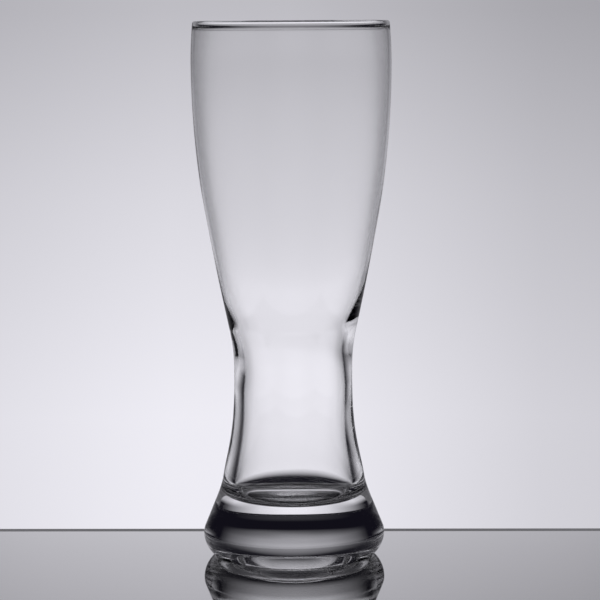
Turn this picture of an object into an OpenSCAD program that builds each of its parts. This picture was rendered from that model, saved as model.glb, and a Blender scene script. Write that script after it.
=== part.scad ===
// Pilsner glass, one piece of clear blown glass: a tall rounded bowl narrows to a
// waist and stands on a heavy flared foot, with a deep dish underneath.
// Millimetres. +Z is up, and the origin is the centre of the foot on the table.
// Heights are stacked from the table to the rim, so each stretch can change alone.

/* [Foot] */
// Outer diameter of the foot at its widest
foot_d = 79.8; // [73:0.2:90]
// Height of the widest place above the table
foot_widest_h = 10.2; // [8:0.2:14]
// Radius of the round turn between the widest place and the flank
foot_turn_r = 7.5; // [4:0.1:10]
// Height of the conical flank above the widest place
flank_h = 11.6; // [9:0.2:16]
// Lean of the flank, outward travel for each millimetre down
flank_lean_share = 0.41; // [0.36:0.005:0.45]
// Outer diameter of the ring that stands on the table
ring_d = 67.4; // [62:0.2:71]
// Width of the flat on that ring
ring_w = 1; // [0.6:0.1:2]
// How far the side of the dish leans in
dish_side_w = 0.4; // [0.2:0.1:3]
// Height of the side of the dish, its deepest place
dish_side_h = 6.5; // [4:0.1:8]
// Height of the dish at its centre, where the glass hangs a little lower
dish_h = 4.7; // [3:0.1:9]

/* [Ankle and stem] */
// Outer diameter of the ankle, where the foot begins to flare
ankle_d = 62.4; // [60:0.1:63.5]
// Height of the hollow between the flank and the ankle
ankle_blend_h = 13.4; // [10:0.2:17]
// Lean of the stem at the ankle, outward travel for each millimetre down
ankle_lean_share = 0.16; // [0.1:0.01:0.2]
// Height of the stem from the ankle to the waist
stem_h = 43.8; // [38:0.2:52]
// Outer diameter of the waist
waist_d = 52; // [50:0.2:56]

/* [Bowl] */
// Height of the flare from the waist to the shoulder
flare_h = 74.5; // [66:0.5:82]
// Outer diameter of the shoulder, half way up the bowl
shoulder_d = 76.8; // [73:0.2:79]
// Lean of the shoulder, outward travel for each millimetre up
shoulder_lean_share = 0.18; // [0.16:0.01:0.2]
// Height of the bowl from the shoulder to the belly
bowl_h = 63.5; // [56:0.5:70]
// Outer diameter of the belly, the widest place of the bowl
belly_d = 87.4; // [84:0.2:92]
// Height of the neck from the belly to the top of the rim
neck_h = 18; // [14:0.5:24]

/* [Rim] */
// Outer diameter of the rim, just under its round top
rim_d = 85.8; // [83:0.2:90]
// Lean of the neck at the rim, inward travel for each millimetre up
rim_lean_share = 0.08; // [0.04:0.01:0.12]
// Thickness of the rolled lip
lip_t = 2.2; // [1.8:0.1:3]
// Height over which the lip thins to the wall of the bowl
lip_blend_h = 3.4; // [2.6:0.1:5]

/* [Walls] */
// Wall of the blown bowl
bowl_wall = 1.5; // [1.2:0.1:1.7]
// Wall at the throat, where the thin bowl runs into the thick stem
throat_wall = 3.1; // [2.6:0.1:3.6]
// Height of the throat above the waist
throat_h = 21.5; // [18:0.5:26]
// Lean of the cavity at the throat, outward travel for each millimetre up
throat_lean_share = 0.21; // [0.16:0.01:0.3]
// Wall of the gullet, the steep stretch under the throat
gullet_wall = 3.2; // [2.6:0.1:3.6]
// Height of the gullet above the waist
gullet_h = 10.5; // [8:0.5:13]
// Lean of the cavity at the gullet, outward travel for each millimetre up
gullet_lean_share = 0.09; // [0.05:0.01:0.12]
// Wall at the bore, the narrowest place of the cavity
bore_wall = 4; // [3.4:0.1:4.6]
// Depth of the bore below the waist
bore_drop = 14; // [10:0.5:18]
// Wall at the ankle
ankle_wall = 5.7; // [5:0.1:7]

/* [Cavity floor] */
// Height of the edge of the cavity floor above the table, the solid glass of the foot
floor_h = 24; // [20:0.5:28]
// Rise of the floor from its edge to its centre
floor_rise = 0.4; // [0:0.1:2]
// Width of the rounded corner between floor and wall
corner_w = 5.4; // [2:0.1:7]

/* [Hidden] */

// Straight pieces that stand for the curve between two stations
curve_steps = 12;
turn_steps = 6;
lip_steps = 12;
// Facets of a full turn
$fn = 180;

// How far a curve keeps the lean of its station, as a share of its height
belly_down_share = 0.455;
shoulder_up_share = 0.165;
shoulder_down_share = 0.82;
waist_up_share = 0.28;
waist_down_share = 0.58;
ankle_up_share = 0.29;
foot_down_share = 0.6;
ring_out_share = 0.25;
neck_share = 0.36;
blend_share = 0.33;
throat_up_share = 0.12;
throat_down_share = 0.25;
gullet_share = 0.45;
bore_up_share = 0.54;
bore_down_share = 0.45;
wall_share = 0.84;
corner_down_share = 0.72;
corner_out_share = 0.98;
floor_share = 0.5;
side_share = 0.55;
dish_share = 0.21;

// Heights above the table
flank_z = foot_widest_h + flank_h;
ankle_z = flank_z + ankle_blend_h;
waist_z = ankle_z + stem_h;
shoulder_z = waist_z + flare_h;
belly_z = shoulder_z + bowl_h;
rim_z = belly_z + neck_h;
lip_z = rim_z - lip_t / 2;
under_lip_z = lip_z - lip_blend_h;
throat_z = waist_z + throat_h;
gullet_z = waist_z + gullet_h;
bore_z = waist_z - bore_drop;

// A point on the cubic from a to d, with b and c as its handles
function on_curve(a, b, c, d, t) =
    pow(1 - t, 3) * a + 3 * pow(1 - t, 2) * t * b + 3 * (1 - t) * pow(t, 2) * c + pow(t, 3) * d;

// The curve from a to d without its first point
function curve(a, b, c, d, steps) =
    [for (i = [1 : steps]) on_curve(a, b, c, d, i / steps)];

// A station is a radius, a height and a lean, the radius gained for each millimetre up
function place(s) = [s[0], s[1]];
function up(s, reach) = place(s) + reach * [s[2], 1];
function down(s, reach) = place(s) - reach * [s[2], 1];

// The curve down from a station to the one below it
function descend(top, bottom, top_share, bottom_share) =
    let (h = top[1] - bottom[1])
    curve(place(top), down(top, top_share * h), up(bottom, bottom_share * h), place(bottom), curve_steps);

// The radius of a list of stations' curve at height z, along straight pieces of the outline
function radius_at(outline, z) =
    let (i = [for (k = [0 : len(outline) - 2]) if (outline[k][1] >= z && outline[k + 1][1] < z) k][0],
         a = outline[i],
         b = outline[i + 1])
    a[0] + (b[0] - a[0]) * (z - a[1]) / (b[1] - a[1]);

// Stations of the outside
rim = [rim_d / 2, lip_z, -rim_lean_share];
belly = [belly_d / 2, belly_z, 0];
shoulder = [shoulder_d / 2, shoulder_z, shoulder_lean_share];
waist = [waist_d / 2, waist_z, 0];
ankle = [ankle_d / 2, ankle_z, -ankle_lean_share];

// The round turn of the foot, from the flank's angle to the widest place
flank_angle = atan(flank_lean_share);
turn_centre = [foot_d / 2 - foot_turn_r, foot_widest_h];
foot_turn = [for (i = [0 : turn_steps])
    let (a = flank_angle * (1 - i / turn_steps))
    turn_centre + foot_turn_r * [cos(a), sin(a)]];
flank_top = foot_turn[0] + (flank_z - foot_turn[0][1]) * [-flank_lean_share, 1];
flank = [flank_top[0], flank_top[1], -flank_lean_share];

// The outside from the rim down to the ring on the table
outside = concat(
    [place(rim)],
    descend(rim, belly, neck_share, neck_share),
    descend(belly, shoulder, belly_down_share, shoulder_up_share),
    descend(shoulder, waist, shoulder_down_share, waist_up_share),
    descend(waist, ankle, waist_down_share, ankle_up_share),
    descend(ankle, flank, blend_share, blend_share),
    foot_turn,
    curve([foot_d / 2, foot_widest_h],
          [foot_d / 2, foot_widest_h * (1 - foot_down_share)],
          [ring_d / 2 + ring_out_share * (foot_d - ring_d) / 2, 0],
          [ring_d / 2, 0], curve_steps));

// Stations of the cavity, each set in from the outside by its wall
function set_in(z, wall, lean) = [radius_at(outside, z) - wall, z, lean];
lip_in = [rim_d / 2 - lip_t, lip_z, 0];
under_lip_in = set_in(under_lip_z, bowl_wall, -rim_lean_share);
belly_in = [belly_d / 2 - bowl_wall, belly_z, 0];
shoulder_in = [shoulder_d / 2 - bowl_wall, shoulder_z, shoulder_lean_share];
throat_in = set_in(throat_z, throat_wall, throat_lean_share);
gullet_in = set_in(gullet_z, gullet_wall, gullet_lean_share);
bore_in = set_in(bore_z, bore_wall, 0);
ankle_in = [ankle_d / 2 - ankle_wall, ankle_z, -ankle_lean_share];
floor_edge = [ankle_in[0] - corner_w, floor_h];
floor_mid = [0, floor_h + floor_rise];

// The cavity from the lip down to the middle of its floor
inside = concat(
    [place(lip_in)],
    descend(lip_in, under_lip_in, blend_share, blend_share),
    descend(under_lip_in, belly_in, neck_share, neck_share),
    descend(belly_in, shoulder_in, belly_down_share, shoulder_up_share),
    descend(shoulder_in, throat_in, wall_share, throat_up_share),
    descend(throat_in, gullet_in, throat_down_share, gullet_share),
    descend(gullet_in, bore_in, gullet_share, bore_up_share),
    descend(bore_in, ankle_in, bore_down_share, ankle_up_share),
    curve(place(ankle_in), down(ankle_in, corner_down_share * (ankle_z - floor_h)),
          floor_edge + [corner_out_share * corner_w, 0], floor_edge, curve_steps),
    curve(floor_edge, [floor_edge[0] * (1 - floor_share), floor_h],
          [floor_edge[0] * floor_share, floor_mid[1]], floor_mid, turn_steps));

// The round top of the lip, from its inner side over to the outside
lip_round = [for (i = [1 : lip_steps - 1])
    let (a = 180 * (1 - i / lip_steps))
    [rim_d / 2 - lip_t / 2, lip_z] + lip_t / 2 * [cos(a), sin(a)]];

// The dish under the foot, from the flat of the ring up to the centre
ring_in = [ring_d / 2 - ring_w, 0];
dish_edge = [ring_in[0] - dish_side_w, dish_side_h];
dish_turn_r = dish_edge[0] * (1 - dish_share);
dish = concat(
    [ring_in],
    curve(ring_in, ring_in + [0, side_share * dish_side_h],
          dish_edge + [side_share * dish_side_w, 0], dish_edge, turn_steps),
    curve(dish_edge, [dish_turn_r, (dish_side_h + dish_h) / 2], [dish_turn_r, dish_h], [0, dish_h], curve_steps));

// Half of the section through the axis, once round: lip, outside, dish, then the cavity upward
cavity_up = [for (i = [len(inside) - 1 : -1 : 0]) inside[i]];
section = concat(lip_round, outside, dish, cavity_up);

module glass() {
    color([0.86, 0.88, 0.9, 0.35])
        rotate_extrude()
            polygon(section);
}

glass();
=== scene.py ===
import math

import bpy
from mathutils import Matrix


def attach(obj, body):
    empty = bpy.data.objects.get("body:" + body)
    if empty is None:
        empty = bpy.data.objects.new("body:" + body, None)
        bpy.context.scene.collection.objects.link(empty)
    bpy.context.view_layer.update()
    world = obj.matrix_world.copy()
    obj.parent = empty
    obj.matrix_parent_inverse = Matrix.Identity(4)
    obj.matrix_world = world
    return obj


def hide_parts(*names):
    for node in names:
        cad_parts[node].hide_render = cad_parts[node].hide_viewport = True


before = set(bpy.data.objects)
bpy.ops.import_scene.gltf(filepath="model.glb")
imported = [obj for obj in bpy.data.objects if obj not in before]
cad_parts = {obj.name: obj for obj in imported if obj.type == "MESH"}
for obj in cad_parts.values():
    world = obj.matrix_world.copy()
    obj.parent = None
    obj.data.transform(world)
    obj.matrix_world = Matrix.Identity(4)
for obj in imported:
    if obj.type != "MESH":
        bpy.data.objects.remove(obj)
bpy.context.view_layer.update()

# Sizes of the glass are in millimetres, and a lean is the change of radius for each millimetre of height
MM = 0.001

# Foot
FOOT_R = 39.9
FOOT_WIDEST_H = 10.2
FOOT_TURN_R = 7.5
FLANK_H = 11.6
FLANK_LEAN = 0.41
RING_R = 33.7
RING_ROUND = 1.6
DISH_SIDE_W = 1.0
DISH_SIDE_H = 6.5
DISH_H = 4.7

# Ankle, stem, bowl and rim
ANKLE_R = 31.2
ANKLE_BLEND_H = 13.4
ANKLE_LEAN = 0.16
STEM_H = 43.8
WAIST_R = 26.0
FLARE_H = 74.5
SHOULDER_R = 38.4
SHOULDER_LEAN = 0.18
BOWL_H = 63.5
BELLY_R = 43.7
NECK_H = 18.0
RIM_R = 42.9
RIM_LEAN = 0.08
LIP_T = 2.2
LIP_BLEND_H = 2.6

# Walls and cavity
BOWL_WALL = 1.5
THROAT_WALL = 3.1
THROAT_H = 21.5
THROAT_LEAN = 0.21
GULLET_WALL = 3.2
GULLET_H = 10.5
GULLET_LEAN = 0.09
BORE_WALL = 4.0
BORE_DROP = 14.0
ANKLE_WALL = 5.7
FLOOR_H = 24.0
FLOOR_RISE = 0.4
CORNER_W = 5.4

# How far a curve keeps the lean of its station, as a share of its height or width
NECK_SHARE = 0.36
BLEND_SHARE = 0.33
BELLY_DOWN_SHARE = 0.455
SHOULDER_UP_SHARE = 0.165
SHOULDER_DOWN_SHARE = 0.82
WAIST_UP_SHARE = 0.28
WAIST_DOWN_SHARE = 0.58
ANKLE_UP_SHARE = 0.29
FOOT_DOWN_SHARE = 0.6
RING_OUT_SHARE = 0.25
WALL_SHARE = 0.84
THROAT_UP_SHARE = 0.12
THROAT_DOWN_SHARE = 0.25
GULLET_SHARE = 0.45
BORE_UP_SHARE = 0.54
BORE_DOWN_SHARE = 0.45
CORNER_DOWN_SHARE = 0.72
CORNER_OUT_SHARE = 0.98
FLOOR_SHARE = 0.5
SIDE_SHARE = 0.55
DISH_SHARE = 0.25

# Heights above the table
FLANK_Z = FOOT_WIDEST_H + FLANK_H
ANKLE_Z = FLANK_Z + ANKLE_BLEND_H
WAIST_Z = ANKLE_Z + STEM_H
SHOULDER_Z = WAIST_Z + FLARE_H
BELLY_Z = SHOULDER_Z + BOWL_H
RIM_Z = BELLY_Z + NECK_H
LIP_Z = RIM_Z - LIP_T / 2
UNDER_LIP_Z = LIP_Z - LIP_BLEND_H
THROAT_Z = WAIST_Z + THROAT_H
GULLET_Z = WAIST_Z + GULLET_H
BORE_Z = WAIST_Z - BORE_DROP

# How far the cavity lies to the right of the axis, in stops of (height, offset)
CAVITY_DRIFT = (
    (40, 0), (56, 0.2), (66, 0.35), (74, 0.42), (80, 0.4), (88, 0.2), (100, 0), (170, 0))

# How much thicker the wall is at the right and the left of the throat, in stops of (height, extra),
# and the power of the cosine with which that dies away towards the front and the back
SWELL_RIGHT = ((77, 0), (85, 0.3), (91, 0.8), (97, 0.9), (106, 0.65), (116, 0.25), (130, 0))
SWELL_LEFT = ((74, 0), (80, 0.22), (86, 0.5), (92, 0.5), (100, 0.25), (112, 0))
SWELL_POWER = 6

# Straight pieces in a long curve, in a short one, and round the axis
LONG_STEPS = 36
SHORT_STEPS = 14
TURN_STEPS = 232

# A point nearer to the axis than this lies on it
ON_AXIS = 0.000001

# Clear glass, and the faint waves of its blowing: how many to the metre each way, and how deep in metres
GLASS_IOR = 1.52
WAVE_SCALE = (45.0, 45.0, 12.0)
WAVE_DETAIL = 1.0
WAVE_DEPTH = 0.0001

# Camera, in metres, with its lens and sensor in millimetres and its angles in degrees. The tilt is
# counted from straight down
CAMERA_PLACE = (0.0, -1.101, 0.23884)
CAMERA_LENS = 151.45
CAMERA_SENSOR = 36.0
CAMERA_TILT = 83.4814
CAMERA_YAW = -0.167
CAMERA_ROLL = -0.354

# Table, in metres and degrees, with the pale strip at its back edge
TABLE_BACK = 0.047
TABLE_FRONT = -0.14
TABLE_HALF_W = 0.17
TABLE_T = 0.03
TABLE_TURN = -1.65
TABLE_SHADE = 0.02
TABLE_ROUGH = 0.045
TABLE_IOR = 1.8
TABLE_GLOSS = 1.5
EDGE_W = 0.006
EDGE_SHADE = 0.2

# Light of the studio: its tint, the even light on matt surfaces, and a bluish dusk on everything
TINT = (0.985, 0.973, 1.042)
SOFT_LIGHT = 0.8
DUSK_TINT = (0.62, 0.56, 1.0)
DUSK = 0.009

# The tables below hold stops of (degrees, level). A height is counted from the horizon, and a side from
# straight behind the glass. The levels by height and by side are multiplied.
# The backdrop that the camera sees, from left to right
BACKDROP_BY_HEIGHT = ((-90, 0.85), (-9, 0.86), (-4, 0.7), (0, 0.52), (8, 0.4), (90, 0.4))
BACKDROP_BY_SIDE = (
    (-180, 0.8), (-10, 0.8), (-3, 1.0), (0, 1.0), (6, 0.75), (10, 0.7), (30, 0.8), (180, 0.8))

# The bright field behind the glass, which the glass bends, and the share of it that surfaces mirror
FRONT_BY_HEIGHT = (
    (-90, 0.0), (-30, 0.0), (-20, 0.92), (-9, 0.89), (-4, 0.7), (0, 0.5), (10, 0.35), (16, 0.0),
    (90, 0.0))
FRONT_BY_SIDE = ((0, 1.0), (5, 0.98), (16, 0.8), (25, 0.5), (40, 0.1), (46, 0.0), (180, 0.0))
MIRRORED_BY_SIDE = ((0, 1.0), (6, 1.0), (12, 0.3), (180, 0.3))

# The bright field from both sides round to behind the camera
AROUND_BY_HEIGHT = (
    (-90, 0.0), (-60, 0.1), (-50, 0.7), (-20, 0.9), (-8, 0.9), (0, 0.15), (4, 0.0), (90, 0.0))
AROUND_BY_SIDE = (
    (0, 0.0), (50, 0.0), (65, 0.6), (85, 0.9), (115, 0.9), (145, 0.7), (170, 0.9), (180, 0.9))

# The lower field between those two
LOW_SIDES_BY_HEIGHT = ((-90, 0.0), (-60, 0.1), (-50, 0.6), (-20, 0.6), (-13, 0.0), (90, 0.0))
LOW_SIDES_BY_SIDE = ((0, 0.0), (20, 0.0), (35, 0.9), (50, 0.9), (68, 0.0), (180, 0.0))

# The floor straight below and the lamp overhead, all the way round
BELOW = ((-90, 0.85), (-60, 0.85), (-50, 0.0), (90, 0.0))
OVERHEAD = ((-90, 0.0), (30, 0.0), (55, 0.1), (75, 0.9), (90, 2.0))

# The glow above the horizon that only the table mirrors
GLOW_BY_HEIGHT = (
    (-90, 0.0), (1, 0.0), (4, 0.55), (10, 0.7), (20, 0.8), (35, 0.4), (60, 0.4), (90, 1.0))
GLOW_BY_SIDE = ((0, 1.0), (60, 0.8), (130, 0.8), (160, 0.5), (180, 0.5))

# How often light may bend or mirror on its way through the walls
MOST_BOUNCES = 32
MIRROR_BOUNCES = 24


def on_curve(a, b, c, d, t):
    """The point at t of the cubic from a to d with handles b and c."""
    s = 1 - t
    return tuple(s ** 3 * p + 3 * s * s * t * q + 3 * s * t * t * u + t ** 3 * v
                 for p, q, u, v in zip(a, b, c, d))


def curve(a, b, c, d, steps):
    """That cubic in straight pieces, without its first point."""
    return [on_curve(a, b, c, d, i / steps) for i in range(1, steps + 1)]


def descend(top, bottom, top_share, bottom_share, steps=LONG_STEPS):
    """The curve down between two stations of (radius, height, lean)."""
    h = top[1] - bottom[1]
    b = (top[0] - top_share * h * top[2], top[1] - top_share * h)
    c = (bottom[0] + bottom_share * h * bottom[2], bottom[1] + bottom_share * h)
    return curve(top[:2], b, c, bottom[:2], steps)


def radius_at(outline, z):
    """The radius at height z of an outline that runs downward."""
    for a, b in zip(outline, outline[1:]):
        if a[1] >= z > b[1]:
            return a[0] + (b[0] - a[0]) * (z - a[1]) / (b[1] - a[1])
    raise ValueError(z)


def foot_turn():
    """The round turn of the foot, from the flank down to the widest place."""
    flank_angle = math.atan(FLANK_LEAN)
    points = []
    for i in range(SHORT_STEPS + 1):
        a = flank_angle * (1 - i / SHORT_STEPS)
        points.append((FOOT_R - FOOT_TURN_R + FOOT_TURN_R * math.cos(a),
                       FOOT_WIDEST_H + FOOT_TURN_R * math.sin(a)))
    return points


def outside_outline():
    """Outside of the glass, from the rim down to the ring on the table."""
    rim = (RIM_R, LIP_Z, -RIM_LEAN)
    belly = (BELLY_R, BELLY_Z, 0)
    shoulder = (SHOULDER_R, SHOULDER_Z, SHOULDER_LEAN)
    waist = (WAIST_R, WAIST_Z, 0)
    ankle = (ANKLE_R, ANKLE_Z, -ANKLE_LEAN)
    turn = foot_turn()
    flank = (turn[0][0] - FLANK_LEAN * (FLANK_Z - turn[0][1]), FLANK_Z, -FLANK_LEAN)
    points = [rim[:2]]
    points += descend(rim, belly, NECK_SHARE, NECK_SHARE, SHORT_STEPS)
    points += descend(belly, shoulder, BELLY_DOWN_SHARE, SHOULDER_UP_SHARE)
    points += descend(shoulder, waist, SHOULDER_DOWN_SHARE, WAIST_UP_SHARE)
    points += descend(waist, ankle, WAIST_DOWN_SHARE, ANKLE_UP_SHARE)
    points += descend(ankle, flank, BLEND_SHARE, BLEND_SHARE, SHORT_STEPS)
    points += turn
    points += curve((FOOT_R, FOOT_WIDEST_H), (FOOT_R, FOOT_WIDEST_H * (1 - FOOT_DOWN_SHARE)),
                    (RING_R + RING_OUT_SHARE * (FOOT_R - RING_R), 0), (RING_R, 0), LONG_STEPS)
    return points


def inside_outline(outside):
    """Cavity of the glass, from the lip down to its floor."""
    def set_in(z, wall, lean):
        return (radius_at(outside, z) - wall, z, lean)
    lip = (RIM_R - LIP_T, LIP_Z, 0)
    under_lip = set_in(UNDER_LIP_Z, BOWL_WALL, -RIM_LEAN)
    belly = (BELLY_R - BOWL_WALL, BELLY_Z, 0)
    shoulder = (SHOULDER_R - BOWL_WALL, SHOULDER_Z, SHOULDER_LEAN)
    throat = set_in(THROAT_Z, THROAT_WALL, THROAT_LEAN)
    gullet = set_in(GULLET_Z, GULLET_WALL, GULLET_LEAN)
    bore = set_in(BORE_Z, BORE_WALL, 0)
    ankle = (ANKLE_R - ANKLE_WALL, ANKLE_Z, -ANKLE_LEAN)
    edge = (ankle[0] - CORNER_W, FLOOR_H)
    drop = CORNER_DOWN_SHARE * (ANKLE_Z - FLOOR_H)
    middle = (0, FLOOR_H + FLOOR_RISE)
    points = [lip[:2]]
    points += descend(lip, under_lip, BLEND_SHARE, BLEND_SHARE, SHORT_STEPS)
    points += descend(under_lip, belly, NECK_SHARE, NECK_SHARE, SHORT_STEPS)
    points += descend(belly, shoulder, BELLY_DOWN_SHARE, SHOULDER_UP_SHARE)
    points += descend(shoulder, throat, WALL_SHARE, THROAT_UP_SHARE)
    points += descend(throat, gullet, THROAT_DOWN_SHARE, GULLET_SHARE, SHORT_STEPS)
    points += descend(gullet, bore, GULLET_SHARE, BORE_UP_SHARE, SHORT_STEPS)
    points += descend(bore, ankle, BORE_DOWN_SHARE, ANKLE_UP_SHARE, SHORT_STEPS)
    points += curve(ankle[:2], (ankle[0] + drop * ANKLE_LEAN, ankle[1] - drop),
                    (edge[0] + CORNER_OUT_SHARE * CORNER_W, edge[1]), edge, SHORT_STEPS)
    points += curve(edge, (edge[0] * (1 - FLOOR_SHARE), edge[1]),
                    (edge[0] * FLOOR_SHARE, middle[1]), middle, SHORT_STEPS)
    return points


def dish_outline():
    """Dish under the foot, from just inside the lowest circle of the ring up to the centre."""
    side = RING_R - RING_ROUND
    edge = (side - DISH_SIDE_W, DISH_SIDE_H)
    turn = edge[0] * (1 - DISH_SHARE)
    points = []
    for i in range(1, SHORT_STEPS + 1):
        a = math.pi / 2 * i / SHORT_STEPS
        points.append((side + RING_ROUND * (1 - math.sin(a)), RING_ROUND * (1 - math.cos(a))))
    points += curve(points[-1], (side, SIDE_SHARE * DISH_SIDE_H),
                    (edge[0] + SIDE_SHARE * DISH_SIDE_W, edge[1]), edge, SHORT_STEPS)
    points += curve(edge, (turn, (DISH_SIDE_H + DISH_H) / 2), (turn, DISH_H), (0, DISH_H), SHORT_STEPS)
    return points


def lip_outline():
    """The round top of the lip between the outside and the cavity, without its ends."""
    points = []
    for i in range(1, SHORT_STEPS):
        a = math.pi * i / SHORT_STEPS
        points.append((RIM_R - LIP_T / 2 + LIP_T / 2 * math.cos(a), LIP_Z + LIP_T / 2 * math.sin(a)))
    return points


def along(stops, x):
    """The value at x of the smooth curve through stops of (x, value), which stays level beyond them."""
    if x <= stops[0][0]:
        return stops[0][1]
    padded = [stops[0]] + list(stops) + [stops[-1]]
    for before, low, high, after in zip(padded, padded[1:], padded[2:], padded[3:]):
        if x <= high[0]:
            run = high[0] - low[0]
            t = (x - low[0]) / run
            slope_low = run * (high[1] - before[1]) / (high[0] - before[0])
            slope_high = run * (after[1] - low[1]) / (after[0] - low[0])
            return ((2 * t ** 3 - 3 * t * t + 1) * low[1] + (t ** 3 - 2 * t * t + t) * slope_low
                    + (3 * t * t - 2 * t ** 3) * high[1] + (t ** 3 - t * t) * slope_high)
    return stops[-1][1]


def skin_point(r, z, a):
    """A point of the outside at angle a, counted from the right."""
    return r * math.cos(a), r * math.sin(a), z


def cavity_point(r, z, a):
    """A point of the cavity at angle a, with the drift of its centre and the swell of its sides."""
    side = math.cos(a)
    swell = along(SWELL_RIGHT if side > 0 else SWELL_LEFT, z) * abs(side) ** SWELL_POWER
    return (r - swell) * side + along(CAVITY_DRIFT, z), (r - swell) * math.sin(a), z


def section():
    """Once round half the section, as two lists: the skin from the dish to the lip, and the cavity."""
    outside = outside_outline()
    skin = dish_outline()[::-1] + outside[::-1] + lip_outline()
    return skin, inside_outline(outside)


def revolve(name, skin, cavity):
    """A closed mesh: the points turned round the axis, with the first and the last of them on it."""
    verts, faces, rings = [], [], []
    for (r, z), place in [(p, skin_point) for p in skin] + [(p, cavity_point) for p in cavity]:
        steps = 1 if r < ON_AXIS else TURN_STEPS
        rings.append(list(range(len(verts), len(verts) + steps)))
        for k in range(steps):
            verts.append([c * MM for c in place(r, z, 2 * math.pi * k / TURN_STEPS)])
    for low, high in zip(rings, rings[1:]):
        for k in range(TURN_STEPS):
            j = (k + 1) % TURN_STEPS
            quad = [low[k % len(low)], low[j % len(low)], high[j % len(high)], high[k % len(high)]]
            faces.append(list(dict.fromkeys(quad)))
    mesh = bpy.data.meshes.new(name)
    mesh.from_pydata(verts, [], faces)
    mesh.validate()
    mesh.polygons.foreach_set("use_smooth", [True] * len(mesh.polygons))
    mesh.update()
    piece = bpy.data.objects.new(name, mesh)
    bpy.context.scene.collection.objects.link(piece)
    return piece


def grey(level):
    return (level, level, level, 1)


def clear_tree(owner):
    """The emptied node tree of a new material or world."""
    owner.use_nodes = True
    owner.node_tree.nodes.clear()
    return owner.node_tree


def feed(tree, value, socket):
    """Sets the socket to a number, or links it to another node's output."""
    if isinstance(value, (int, float)):
        socket.default_value = value
    else:
        tree.links.new(value, socket)


def math_node(tree, kind, *values):
    node = tree.nodes.new("ShaderNodeMath")
    node.operation = kind
    for socket, value in zip(node.inputs, values):
        feed(tree, value, socket)
    return node.outputs[0]


def mixed(tree, share, first, second):
    """The first shader, and the second in place of a share of it."""
    node = tree.nodes.new("ShaderNodeMixShader")
    tree.links.new(share, node.inputs[0])
    tree.links.new(first, node.inputs[1])
    tree.links.new(second, node.inputs[2])
    return node.outputs[0]


def new_material(name, surface):
    """A material with the shader that the function surface makes in its tree."""
    material = bpy.data.materials.new(name)
    tree = clear_tree(material)
    out = tree.nodes.new("ShaderNodeOutputMaterial")
    tree.links.new(surface(tree), out.inputs["Surface"])
    return material


def blown_waves(tree):
    """The normal of a skin that is faintly uneven from blowing."""
    place = tree.nodes.new("ShaderNodeTexCoord")
    stretch = tree.nodes.new("ShaderNodeMapping")
    stretch.inputs["Scale"].default_value = WAVE_SCALE
    waves = tree.nodes.new("ShaderNodeTexNoise")
    waves.inputs["Scale"].default_value = 1.0
    waves.inputs["Detail"].default_value = WAVE_DETAIL
    bump = tree.nodes.new("ShaderNodeBump")
    bump.inputs["Distance"].default_value = WAVE_DEPTH
    tree.links.new(place.outputs["Object"], stretch.inputs["Vector"])
    tree.links.new(stretch.outputs[0], waves.inputs["Vector"])
    tree.links.new(waves.outputs["Fac"], bump.inputs["Height"])
    return bump.outputs[0]


def clear_glass(tree):
    shader = tree.nodes.new("ShaderNodeBsdfPrincipled")
    shader.inputs["Base Color"].default_value = grey(1)
    shader.inputs["Roughness"].default_value = 0.0
    shader.inputs["IOR"].default_value = GLASS_IOR
    shader.inputs["Transmission Weight"].default_value = 1.0
    tree.links.new(blown_waves(tree), shader.inputs["Normal"])
    return shader.outputs[0]


def matt(tree, shade):
    shader = tree.nodes.new("ShaderNodeBsdfDiffuse")
    shader.inputs["Color"].default_value = grey(shade)
    return shader.outputs[0]


def polished_top(tree):
    """A dark matt ground under a clear gloss."""
    gloss = tree.nodes.new("ShaderNodeBsdfGlossy")
    gloss.inputs["Color"].default_value = grey(1)
    gloss.inputs["Roughness"].default_value = TABLE_ROUGH
    sheen = tree.nodes.new("ShaderNodeFresnel")
    sheen.inputs["IOR"].default_value = TABLE_IOR
    share = math_node(tree, "MULTIPLY", sheen.outputs[0], TABLE_GLOSS)
    return mixed(tree, share, matt(tree, TABLE_SHADE), gloss.outputs[0])


def edge_strip(tree):
    return matt(tree, EDGE_SHADE)


def make_slab(name, back, front, material):
    """A level slab of the table's width and thickness, turned with the table, that belongs to the stage."""
    x = TABLE_HALF_W
    corners = ((-x, front), (x, front), (x, back), (-x, back))
    verts = [(*corner, z) for z in (-TABLE_T, 0) for corner in corners]
    faces = [(3, 2, 1, 0), (4, 5, 6, 7), (0, 1, 5, 4), (1, 2, 6, 5), (2, 3, 7, 6), (3, 0, 4, 7)]
    mesh = bpy.data.meshes.new(name)
    mesh.from_pydata(verts, [], faces)
    mesh.materials.append(material)
    slab = bpy.data.objects.new(name, mesh)
    slab.rotation_euler = (0, 0, math.radians(TABLE_TURN))
    bpy.context.scene.collection.objects.link(slab)


def make_table():
    make_slab("table", TABLE_BACK, TABLE_FRONT, new_material("polished_table", polished_top))
    make_slab("table_edge", TABLE_BACK + EDGE_W, TABLE_BACK, new_material("table_edge", edge_strip))


def make_camera():
    data = bpy.data.cameras.new("camera")
    data.lens = CAMERA_LENS
    data.sensor_width = CAMERA_SENSOR
    camera = bpy.data.objects.new("camera", data)
    bpy.context.scene.collection.objects.link(camera)
    turn = Matrix.Rotation(math.radians(CAMERA_YAW), 4, "Z")
    turn = turn @ Matrix.Rotation(math.radians(CAMERA_TILT), 4, "X")
    turn = turn @ Matrix.Rotation(math.radians(CAMERA_ROLL), 4, "Z")
    camera.matrix_world = Matrix.Translation(CAMERA_PLACE) @ turn
    bpy.context.scene.camera = camera


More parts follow.
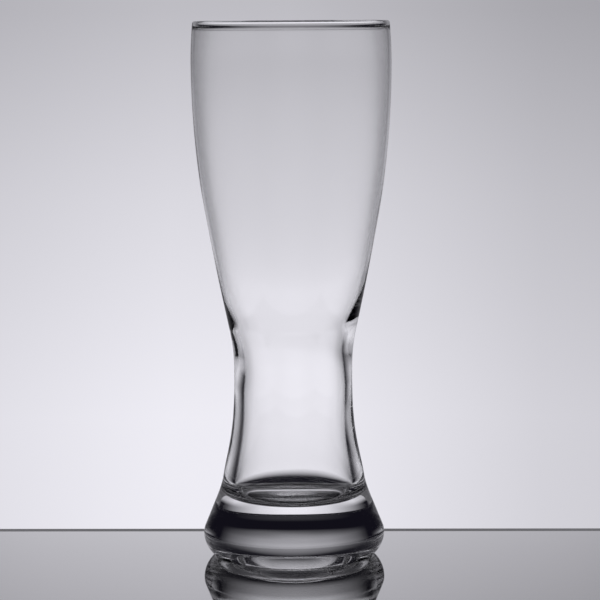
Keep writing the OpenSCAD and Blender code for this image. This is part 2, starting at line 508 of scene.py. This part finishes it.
def ramp(tree, angle, stops):
    """The level at an angle, in straight runs between stops that span its whole range."""
    low, high = stops[0][0], stops[-1][0]
    share = tree.nodes.new("ShaderNodeMapRange")
    share.inputs["From Min"].default_value = low
    share.inputs["From Max"].default_value = high
    tree.links.new(angle, share.inputs["Value"])
    node = tree.nodes.new("ShaderNodeValToRGB")
    elements = node.color_ramp.elements
    elements.remove(elements[1])
    elements[0].color = grey(stops[0][1])
    for at, level in stops[1:]:
        elements.new((at - low) / (high - low)).color = grey(level)
    tree.links.new(share.outputs[0], node.inputs[0])
    return node.outputs[0]


def lobe(tree, height, by_height, aside, by_side):
    """A field of light, from its levels by height and by side."""
    return math_node(tree, "MULTIPLY", ramp(tree, height, by_height), ramp(tree, aside, by_side))


def sky_angles(tree):
    """The azimuth of a ray from straight behind the glass, to the right, and its height, in degrees."""
    where = tree.nodes.new("ShaderNodeTexCoord")
    split = tree.nodes.new("ShaderNodeSeparateXYZ")
    tree.links.new(where.outputs["Generated"], split.inputs[0])
    turn = math_node(tree, "DEGREES", math_node(tree, "ARCTAN2", split.outputs["X"], split.outputs["Y"]))
    height = math_node(tree, "DEGREES", math_node(tree, "ARCSINE", split.outputs["Z"]))
    return turn, height


def room_light(tree, height, aside, front):
    """What rays see that the glass bends: every field of the room."""
    fields = (lobe(tree, height, AROUND_BY_HEIGHT, aside, AROUND_BY_SIDE),
              lobe(tree, height, LOW_SIDES_BY_HEIGHT, aside, LOW_SIDES_BY_SIDE),
              ramp(tree, height, BELOW),
              ramp(tree, height, OVERHEAD))
    room = front
    for field in fields:
        room = math_node(tree, "ADD", room, field)
    return room


def mirrored_light(tree, height, aside, front, fall, sharp):
    """What mirrored rays see: the front, weaker at its sides, and the glow unless the mirror is sharp."""
    ahead = math_node(tree, "MULTIPLY", front, ramp(tree, aside, MIRRORED_BY_SIDE))
    glow = math_node(tree, "MULTIPLY", lobe(tree, height, GLOW_BY_HEIGHT, aside, GLOW_BY_SIDE), fall)
    glow = math_node(tree, "MULTIPLY", glow, math_node(tree, "SUBTRACT", 1, sharp))
    return math_node(tree, "ADD", ahead, glow)


def sky_shader(tree, tint, strength):
    shader = tree.nodes.new("ShaderNodeBackground")
    shader.inputs["Color"].default_value = (*tint, 1)
    feed(tree, strength, shader.inputs["Strength"])
    return shader.outputs[0]


def make_world():
    """The studio, which shows each kind of ray its own light, and the dusk over all of it."""
    world = bpy.data.worlds.new("studio")
    bpy.context.scene.world = world
    tree = clear_tree(world)
    path = tree.nodes.new("ShaderNodeLightPath").outputs
    turn, height = sky_angles(tree)
    aside = math_node(tree, "ABSOLUTE", turn)
    fall = ramp(tree, turn, BACKDROP_BY_SIDE)
    backdrop = math_node(tree, "MULTIPLY", ramp(tree, height, BACKDROP_BY_HEIGHT), fall)
    front = lobe(tree, height, FRONT_BY_HEIGHT, aside, FRONT_BY_SIDE)
    room = room_light(tree, height, aside, front)
    mirrored = mirrored_light(tree, height, aside, front, fall, path["Is Singular Ray"])
    seen = sky_shader(tree, TINT, room)
    seen = mixed(tree, path["Is Reflection Ray"], seen, sky_shader(tree, TINT, mirrored))
    seen = mixed(tree, path["Is Camera Ray"], seen, sky_shader(tree, TINT, backdrop))
    seen = mixed(tree, path["Is Diffuse Ray"], seen, sky_shader(tree, TINT, SOFT_LIGHT))
    both = tree.nodes.new("ShaderNodeAddShader")
    tree.links.new(seen, both.inputs[0])
    tree.links.new(sky_shader(tree, DUSK_TINT, DUSK), both.inputs[1])
    out = tree.nodes.new("ShaderNodeOutputWorld")
    tree.links.new(both.outputs[0], out.inputs["Surface"])


def main():
    glass = revolve("pilsner_glass", *section())
    glass.data.materials.append(new_material("clear_glass", clear_glass))
    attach(glass, "root")
    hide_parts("glass")
    make_table()
    make_camera()
    make_world()
    scene = bpy.context.scene
    scene.view_settings.view_transform = "Standard"
    scene.cycles.max_bounces = MOST_BOUNCES
    scene.cycles.transmission_bounces = MOST_BOUNCES
    scene.cycles.glossy_bounces = MIRROR_BOUNCES


main()
